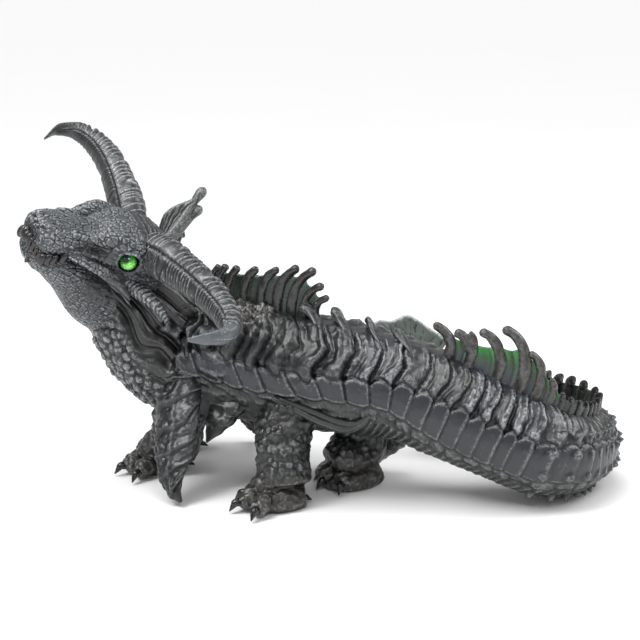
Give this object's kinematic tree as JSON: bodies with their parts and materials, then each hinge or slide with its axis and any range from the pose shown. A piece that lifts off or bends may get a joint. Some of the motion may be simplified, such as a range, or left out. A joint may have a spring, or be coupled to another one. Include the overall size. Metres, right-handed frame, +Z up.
{
  "type": "dragon statue",
  "caption": "Cast dragon on four clawed feet, head turned with long curved horns, spiny crest, plated body and a tail curled round behind.",
  "frame": {"origin": "on the ground, under the middle of the statue's box", "axes": "+Z up; +X from the head end to the tail's bend; the dragon's left side and the snout face -Y"},
  "size_m": [0.6128, 0.4366, 0.3576],
  "materials": {
    "cast_resin": "charcoal painted cast resin, rubbed lighter on the raised edges, green in the crest's webs",
    "eye_glass": "polished green glass"
  },
  "bodies": {
    "root": {"dragon": "cast_resin", "left_eye": "eye_glass", "right_eye": "eye_glass"}
  },
  "joints": []
}
